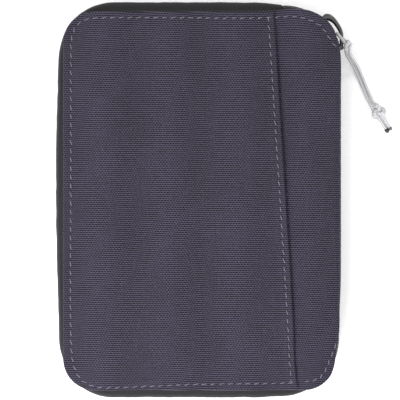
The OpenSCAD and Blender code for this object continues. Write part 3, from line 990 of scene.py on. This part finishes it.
FRONT_FOLD = ("spine", "front", (0.053875, 0, 0.0158), (0.0508, 0, 0.018))
BACK_FOLD = ("back", "spine", (0.0508, 0, 0.001), (0.053875, 0, 0.0032))
front_shell = place(shell("front_shell", 11, BASE_TOP, 1, BASE_TOP - ZIP_MID, 1), FRONT_FOLD,
                    "shell_fabric", "front_outer_fabric", "spine_outer_fabric")
back_shell = place(shell("back_shell", 23, BACK_FACE, -1, ZIP_MID - BACK_FACE), BACK_FOLD,
                   "shell_fabric", "back_outer_fabric")


def pocket_rise(xy, d):
    """Height of the pocket's cloth above its own sewn-down level."""
    x, y = xy.T
    from_hem = inside_hem(xy)
    band = ease((HEM_WIDTH - from_hem) / 0.5) * (HEM_TOP - POCKET_TOP)
    groove = 0.12 * gauss(from_hem, HEM_WIDTH, 0.35)
    held = ease((d - 1.5) / 9)
    mouth = 0.6 * np.exp(-from_hem / 9) * ease((Y1 - 6 - y) / 22) * ease((y - Y0 - 6) / 22)
    flat = ease((d - 1) / 6)
    return (band - groove + mouth * held + flat * swell(x, y, 31) - dips(xy, edge_holes)
            - dips(xy, hem_holes, 0.16, 0.6))


COVER_OUTLINE = rounded(X0, X1, Y0, Y1, CORNER_LEFT, CORNER_RIGHT, OUTLINE_STEP)


def pocket():
    """The pocket's panel with its folded hem, which is the thicker part of it."""
    xy, faces, _ = lay_out(cut_at_hem(COVER_OUTLINE), EDGE_INSETS, 2.0)
    d = np.maximum(depth(xy, COVER_OUTLINE), 0)
    from_hem = inside_hem(xy)
    z = (POCKET_TOP + pocket_rise(xy, d) - rolled(d, EDGE_ROLL)
         - rolled(np.maximum(from_hem, 0), HEM_ROLL))
    thickness = np.where(from_hem < HEM_WIDTH, HEM_TOP - BASE_TOP, CLOTH) - 0.05
    return thicken(np.c_[settle(xy), z], faces, xy, thickness)


front_pocket = add("front_pocket", pocket(), shell_cloth, "front", "shell_fabric",
                   "front_pocket_panel", "front_pocket_hem")


def front_face(xy):
    """Height of the front cover's face, for what is sewn on it."""
    from_hem = inside_hem(xy)
    d = depth(xy, COVER_OUTLINE)
    on_pocket = POCKET_TOP + pocket_rise(xy, d)
    on_shell = BASE_TOP - dips(xy, edge_holes)
    return np.where(from_hem > 0, on_pocket, on_shell)


def settled(mesh):
    """Stitches moved with the cloth that they are sewn through."""
    verts, faces, uv = mesh
    return np.c_[settle(verts[:, :2]), verts[:, 2]], faces, uv


def at_hem(p):
    return abs(hem_x(p[1]) - p[0]) < 1.2


add("front_edge_stitches", settled(stitches(edge_holes, front_face, skip=at_hem)), thread_ply,
    "front", "thread", "edge_thread")
add("front_hem_stitches", settled(stitches(hem_holes, front_face, seed=6)), thread_ply,
    "front", "thread", "hem_thread")


def back_face(xy):
    return BACK_FACE + dips(xy, edge_holes) + 0.1


back_stitches = settled(stitches(edge_holes, back_face, facing=-1, seed=8))
back_stitches[0][:, 2] = np.maximum(back_stitches[0][:, 2], BACK_FACE)
add("back_edge_stitches", back_stitches, thread_ply, "back", "thread")


# ---------- zip ----------

FRONT_REACH = box_mm("front_zip_tape")[1][2] - ZIP_MID
BACK_REACH = ZIP_MID - tape_low[2]
FRONT_END = ZIP_RIGHT - ZIP_CORNER_RIGHT - 0.6
COIL_PITCH = 1.3
COIL_WIRE = 0.3
COIL_BACK = -2.45
COIL_WIDE = 0.45
COIL_ROOT = 12.5 - ZIP_MID
COIL_MESHED = 9.9 - ZIP_MID
COIL_APART = 11.0 - ZIP_MID
LEFT_X = ZIP_LEFT + ZIP_CORNER_LEFT
LEFT_Y = ZIP_TOP - ZIP_CORNER_LEFT
RIGHT_X, RIGHT_Y = SLIDER_AT


def stations(kind, step=1.2):
    """Points, outward directions and lengths along the zip's line, from the spine's lower end."""
    main = [
        line_points((ZIP_RIGHT, -RIGHT_Y + ZIP_RUN_ON), (ZIP_RIGHT, -RIGHT_Y), step),
        arc_points(RIGHT_X, -RIGHT_Y, ZIP_CORNER_RIGHT, 0, -90, step),
        line_points((RIGHT_X, ZIP_BOTTOM), (LEFT_X, ZIP_BOTTOM), step),
        arc_points(LEFT_X, -LEFT_Y, ZIP_CORNER_LEFT, 270, 180, step),
        line_points((ZIP_LEFT, -LEFT_Y), (ZIP_LEFT, LEFT_Y), step),
        arc_points(LEFT_X, LEFT_Y, ZIP_CORNER_LEFT, 180, 90, step),
        line_points((LEFT_X, ZIP_TOP), (FRONT_END, ZIP_TOP), step),
    ]
    last = [
        arc_points(RIGHT_X, RIGHT_Y, ZIP_CORNER_RIGHT, 90, 0, step),
        line_points((ZIP_RIGHT, RIGHT_Y), (ZIP_RIGHT, RIGHT_Y - ZIP_RUN_ON), step),
    ]
    p = undoubled(np.vstack({"main": main, "end": last, "all": main + last}[kind]))
    along = unit(np.gradient(p, axis=0))
    return p, np.c_[-along[:, 1], along[:, 0]], travelled(p)


def drawn_in(p):
    """How far the tape's fold lies inside the zip's line."""
    x, y = p.T
    left = ease((-30 - x) / 10)
    pull = left * (1.1 * ease((-y - 5) / 50) * ease((68 + y) / 9)
                   + 0.75 * ease((y - 15) / 40) * ease((68 - y) / 9))
    pull += 1.2 * ease((x - 47) / 5)
    pull += 1.7 * gauss(x, 38, 10) * ease((y - 40) / 10)
    pull += 0.9 * gauss(x, 40, 9) * ease((-y - 40) / 10)
    pull -= 0.25 * left + 0.3 * ease((-y - 55) / 12) + 0.2 * ease((y - 55) / 12)
    return pull


def tape_outline(reach):
    """The tape's outer and inner faces as (s, h), out from the zip's line and away from the
    teeth: up to the fold, round its bulge, and in under the cover."""
    outer = [(-1, 0.7), (-1, 4.7), (-0.3, 5.6)] + from_corner((0, reach), [
        (0, -2.3), (-0.3, -1.6), (-1, -1.1), (-2.1, -1.15), (-3, -1.1), (-3.6, -0.4),
        (-4.4, -0.02), (-8, -0.02)])
    inner = from_corner((0, reach), [
        (-8, -0.55), (-4.5, -0.55), (-3.8, -1.1), (-3.2, -1.65), (-2, -1.75), (-1, -1.9),
        (-0.6, -2.5)]) + [(-1, 5.9), (-1.7, 5.1), (-1.7, 0.7)]
    return np.array(outer), np.array(inner)


def tape(kind, reach, side, seed, wall_only=False):
    """One half of the zip's tape; side is 1 above the teeth and -1 below them."""
    p, out, u = stations(kind)
    outer, inner = tape_outline(reach)
    if wall_only:
        outer, inner = outer[:-4], inner[4:]
    profile = soften(np.vstack([resample(outer, 0.3), resample(inner, 0.45)]), 2)[::-side]
    s, h = profile.T
    bulge = ease((h - 4.2) / 1.6) * ease((s + 3.4) / 1.6)
    ripple = waves(u, u * 0.37, seed, 9, 0.07) + waves(u, u * 0.71, seed + 1, 31, 0.09)
    pull = drawn_in(p) + np.abs(ripple)
    shape = np.stack(np.broadcast_arrays(s - pull[:, None] * bulge, ZIP_MID + side * h), -1)
    return sweep(p, out, u, shape)


def coil(kind, side):
    """One row of nylon coil, wound along the zip, drawn back from the teeth beside the slider."""
    p, out, u = stations(kind, 0.6)
    at = np.linspace(0, u[-1], int(u[-1] / COIL_PITCH * 11))
    turn = at / COIL_PITCH * TURN
    base, normal = points_at(at, u, p), unit(points_at(at, u, out))
    apart = ease((base[:, 1] - 30) / 20) * ease((base[:, 0] - 5) / 20)
    apart = np.maximum(apart, ease((base[:, 0] - 40) / 10))
    low = COIL_MESHED + apart * (COIL_APART - COIL_MESHED)
    s = COIL_BACK + COIL_WIDE * np.cos(turn)
    z = (low + COIL_ROOT) / 2 + (COIL_ROOT - low) / 2 * np.sin(turn)
    line = np.c_[base + normal * s[:, None], ZIP_MID + side * z]
    return tube(line, COIL_WIRE, 6, first=np.array([0, 0, 1.0]))


for name, mesh, body, node in (
        ("back_tape", tape("all", BACK_REACH, -1, 41), "back", "back_zip_tape"),
        ("front_tape", tape("main", FRONT_REACH, 1, 43), "front", "front_zip_tape"),
        ("zip_end_tape_half", tape("end", FRONT_REACH, 1, 47, True), "back", "zip_end_tape")):
    add(name, mesh, tape_twill, body, "zip_tape", node)
for name, mesh, body, node in (
        ("back_coil", coil("all", -1), "back", "back_zip_coil"),
        ("front_coil", coil("main", 1), "front", "front_zip_coil"),
        ("zip_end_coil_half", coil("end", 1), "back", "zip_end_coil")):
    add(name, mesh, coil_nylon, body, "zip_coil", node)


def ring_profile(outline, rounds):
    """A closed profile from its corners, evenly spaced and softened."""
    return soften(resample(np.array(outline + outline[:1]), 0.5)[:-1], rounds)


def margin_at_slider():
    """The front tape's sewn margin round the slider's corner."""
    p, out, u = stations("end")
    keep = slice(0, len(p) - 4)
    outline = from_corner((0, FRONT_REACH),
                          [(-1.7, -0.55), (-1.7, -0.02), (-8, -0.02), (-8, -0.55)])
    profile = ring_profile(outline, 1)[::-1] + [0, ZIP_MID]
    return sweep(p[keep], out[keep], u[keep], profile)


add("front_tape_margin", margin_at_slider(), tape_twill, "front", "zip_tape")


def stop_rings(side):
    """One of the two pressed stops across the zip's closed end."""
    low, high = box_mm("zip_stops")
    middle = (low + high) / 2
    c, s = superellipse(20, 3.5)
    rings = []
    for t in np.linspace(-1, 1, 9):
        close = (1 - abs(t) ** 4) ** 0.5 * 0.35 + 0.65 if abs(t) < 1 else 0.55
        rings.append(np.c_[middle[0] + c * (high[0] - low[0]) / 2 * close,
                           np.full(20, middle[1] + t * (high[1] - low[1]) / 2),
                           ZIP_MID + side * 1.75 + s * 0.9 * close])
    return rings


add("zip_stop_pair", join([loft(stop_rings(side)) for side in (-1, 1)]), stop_metal, "back",
    "slider_metal", "zip_stops")


# ---------- linings, bindings and pockets ----------

def inside_zip(inset, right_inset):
    """A cover's inner layer: inside the zip, and out beside the spine."""
    tab = SPINE_HALF - 0.5
    x0, x1, out = ZIP_LEFT + inset, ZIP_RIGHT - inset, ZIP_RIGHT - right_inset
    return rounded(x0, x1, ZIP_BOTTOM + inset, ZIP_TOP - inset, ZIP_CORNER_LEFT - inset,
                   ZIP_CORNER_RIGHT - inset, 1.2, [(x1, -tab), (out, -tab), (out, tab), (x1, tab)])


def inner_cloth(outline, face, facing, thickness, rise, insets=(0.1, 0.3, 0.7, 1.4, 2.4),
                spacing=3.0):
    """A flat-sewn panel of cloth, its face towards the inside of the case."""
    xy, faces, _ = lay_out(outline, insets, spacing)
    d = np.maximum(depth(xy, outline), 0)
    z = face + facing * (rise(xy, d) - rolled(d, 0.25))
    if facing < 0:
        faces = [f[::-1] for f in faces]
    return thicken(np.c_[xy, z], faces, xy, thickness)


def cover_lining(body, face, facing, seed):
    def rise(xy, d):
        return waves(*xy.T, seed, 30, 0.06) * ease((d - 8) / 6) - 0.05

    mesh = inner_cloth(inside_zip(3.8, 1.9), face, facing, 0.45, rise)
    return add(body + "_lining_cloth", mesh, lining_cloth, body, "lining_fabric",
               body + "_lining")


back_lining = cover_lining("back", box_mm("back_lining")[1][2], 1, 51)
front_lining = cover_lining("front", box_mm("front_lining")[0][2], -1, 53)


def binding(low, high, lip, facing):
    """Ribbed tape folded over the lining's raw edge, flat and then over the lip."""
    p, out, u = stations("all", 1.2)
    face, under = (high, low) if facing > 0 else (low, high)
    fold = 0.45 * facing
    outline = [(-8, under), (-8, face - fold * 0.2), (-7.6, face), (-3.9, face),
               (-3.35, face - fold * 0.4), (-3.2, face - fold * 2), (-3.2, lip), (-3.8, lip),
               (-3.8, under - fold * 0.5), (-4.2, under)]
    profile = ring_profile(outline, 2)
    return sweep(p, out, u, profile if facing > 0 else profile[::-1])


for side, facing, lip in (("back", 1, 1.2), ("front", -1, BASE_LOW - 0.6)):
    low, high = box_mm(side + "_binding")
    lining_low, lining_high = box_mm(side + "_lining")
    flat = (lining_high[2], high[2]) if facing > 0 else (low[2], lining_low[2])
    add(side + "_binding_tape", binding(*flat, lip, facing), binding_rib, side, "binding_tape",
        side + "_binding")


SPINE_LINING = [(3.4, 0.1), (2.2, 0.12), (0.9, 0.5), (0.25, 1.4), (0.1, 2.6)]


def spine_lining(seed, low):
    """Half of the lining over the spine, tucked under one cover's lining."""
    turn = 1 if low else -1
    edge_z = box_mm("back_lining")[0][2] if low else box_mm("front_lining")[1][2]
    x = ZIP_RIGHT - 1.05
    path = [(x - back, edge_z + turn * up) for back, up in SPINE_LINING]
    line = smooth_line(path + [(x - 0.1, ZIP_MID)], 0.5)
    ys = np.linspace(-SPINE_HALF, SPINE_HALF, 80)
    uu, vv = np.meshgrid(np.arange(len(line)), ys, indexing="ij")
    give = waves(vv, uu * 1.3, seed, 22, 0.05)
    verts = np.stack([line[:, :1] + give - 0.1, vv, line[:, 1:] + 0 * vv], -1)
    faces = grid_faces(len(line), len(ys))
    faces = faces if low else [f[::-1] for f in faces]
    uv = np.stack([uu * 0.5, vv], -1).reshape(-1, 2)
    return thicken(verts.reshape(-1, 3), faces, uv, 0.4)


BACK_LINING_FOLD = ("back", "spine", (0, 0, 0.0034), (0, 0, 0.0062))
FRONT_LINING_FOLD = ("spine", "front", (0, 0, 0.0135), (0, 0, 0.0163))
spine_lining_back = add("spine_lining_back_half", spine_lining(61, True), lining_cloth,
                        BACK_LINING_FOLD, "lining_fabric", "spine_lining")
spine_lining_front = add("spine_lining_front_half", spine_lining(61, False), lining_cloth,
                         FRONT_LINING_FOLD, "lining_fabric")

SLEEVE_BULGE = {"passport_sleeve": 0.6, "ticket_sleeve": 0.4, "card_slot_upper": 0.1,
                "card_slot_middle": 0.2, "card_slot_lower": 0.3}


def slack(x, low, high):
    """0 at a pocket's sewn sides, rising to 1 towards its middle."""
    return np.minimum(ease((x - low[0]) / 16), ease((high[0] - x) / 16))


def sleeve(node, body, facing, seed):
    """A sewn-down pocket that stands a little off the lining towards its open top."""
    low, high = box_mm(node)
    outline = rounded(low[0], high[0], low[1], high[1], 2, 2, 1.0)

    def rise(xy, d):
        x, y = xy.T
        up = np.clip((y - low[1]) / (high[1] - low[1]), 0, 1)
        return (SLEEVE_BULGE[node] * slack(x, low, high) * up ** 1.5
                + waves(x, y, seed, 34, 0.05) * ease((d - 2) / 8))

    face = high[2] if facing > 0 else low[2]
    mesh = inner_cloth(outline, face, facing, 0.4, rise)
    return add(node + "_cloth", mesh, lining_cloth, body, "lining_fabric", node)


passport_sleeve = sleeve("passport_sleeve", "back", 1, 71)
ticket_sleeve = sleeve("ticket_sleeve", "back", 1, 73)
card_slots = [sleeve("card_slot_" + tier, "front", -1, 75 + k)
              for k, tier in enumerate(("upper", "middle", "lower"))]


def sleeve_stitches(pieces, facing):
    """Sewing down both sides of each pocket, along the lowest one's foot and under each mouth."""
    parts = []
    for node, bottom in pieces:
        low, high = box_mm(node)
        face = high[2] + 0.02 if facing > 0 else low[2] - 0.02
        foot = low[1] + 1.4 if bottom is None else bottom
        left = [(low[0] + 1.4, high[1] - 0.6), (low[0] + 1.4, foot)]
        right = [(high[0] - 1.4, foot), (high[0] - 1.4, high[1] - 0.6)]
        runs = [left + right] if bottom is None else [left, right]
        runs.append([(low[0] + 2.6, high[1] - 2.2), (high[0] - 2.6, high[1] - 2.2)])
        for k, run in enumerate(runs):
            flat = np.vstack([line_points(a, b, 2.6)[:-1] for a, b in zip(run, run[1:])]
                             + [np.array(run[-1:])])
            lift = 0.0 if k < len(runs) - 1 else SLEEVE_BULGE[node]

            def height(xy):
                return face + facing * (lift * slack(xy[:, 0], low, high))

            parts.append(stitches(flat, height, facing, seed=90 + k))
    return join(parts)


add("sleeve_stitches", sleeve_stitches([("passport_sleeve", -6.0), ("ticket_sleeve", None)], 1),
    thread_ply, "back", "thread")
add("card_slot_stitches", sleeve_stitches(
    [("card_slot_upper", 24.0), ("card_slot_middle", 4.0), ("card_slot_lower", None)], -1),
    thread_ply, "front", "thread")


def sleeve_hem():
    """The passport sleeve's mouth, folded over and bound."""
    low, high = box_mm("passport_sleeve_hem")
    outline = rounded(low[0], high[0], low[1] - 0.4, high[1], 1.2, 1.2, 0.8)

    def rise(xy, d):
        lift = SLEEVE_BULGE["passport_sleeve"] * slack(xy[:, 0], low, high)
        return lift + 0.02 - rolled(d, 0.3) * 0.6

    return inner_cloth(outline, high[2], 1, 0.7, rise, (0.08, 0.2, 0.4, 0.8, 1.4), 1.2)


add("passport_sleeve_binding", sleeve_hem(), binding_rib, "back", "binding_tape",
    "passport_sleeve_hem")

for name in ("back_stiffener", "front_stiffener"):
    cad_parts[name].data.materials.clear()
    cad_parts[name].data.materials.append(board_fibre)


# ---------- floor and light ----------

def floor_material():
    n = Nodes("floor_paper")
    at = n.add("TexCoord").outputs["Object"]
    grain = n.noise(at, 900, 2.0)
    colour = n.ramp(grain, (0.3, srgb(243, 243, 244)), (0.7, srgb(247, 247, 247)))
    return n.done(colour, grain, 0.01, 0.3, Roughness=0.9, Specular_IOR_Level=0.1)


def floor_mesh():
    """A wide sheet of paper, its edges turned down out of sight."""
    n = 40
    at = np.linspace(-1, 1, n) ** 3 * 2500
    x, y = np.meshgrid(at, at, indexing="ij")
    z = -0.02 - 60 * ease((np.hypot(x, y) - 1800) / 900)
    verts = np.stack([x, y, z], -1).reshape(-1, 3)
    return verts, grid_faces(n, n), verts[:, :2]


make("floor", *floor_mesh(), floor_material())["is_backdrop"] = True


def area_light(name, at, aim, size, power):
    """A round lamp at a place, aimed at a point; metres and watts."""
    data = bpy.data.lights.new(name, "AREA")
    data.shape = "DISK"
    data.size = size
    data.energy = power
    ob = bpy.data.objects.new(name, data)
    ob.location = at
    direction = (np.array(aim) - np.array(at)).tolist()
    ob.rotation_euler = Vector(direction).to_track_quat("-Z", "Y").to_euler()
    scene.collection.objects.link(ob)


area_light("key_light", (-0.14, -0.32, 0.28), (0, -0.01, 0), 0.3, 3.1)
area_light("rim_light", (-0.5, 0.04, 0.14), (-0.05, 0, 0.01), 0.25, 1.2)
area_light("fill_light", (0.5, 0.2, 1.7), (0, 0, 0), 1.6, 5.5)
area_light("slider_glint", (0.35, 0.6, 0.55), (0.05, 0.065, 0.01), 0.05, 0.9)

world = bpy.data.worlds.new("studio")
scene.world = world
world.use_nodes = True
background = world.node_tree.nodes["Background"]
background.inputs[0].default_value = (1, 1, 1, 1)
background.inputs[1].default_value = 1.25

bpy.context.view_layer.update()
low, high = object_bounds()
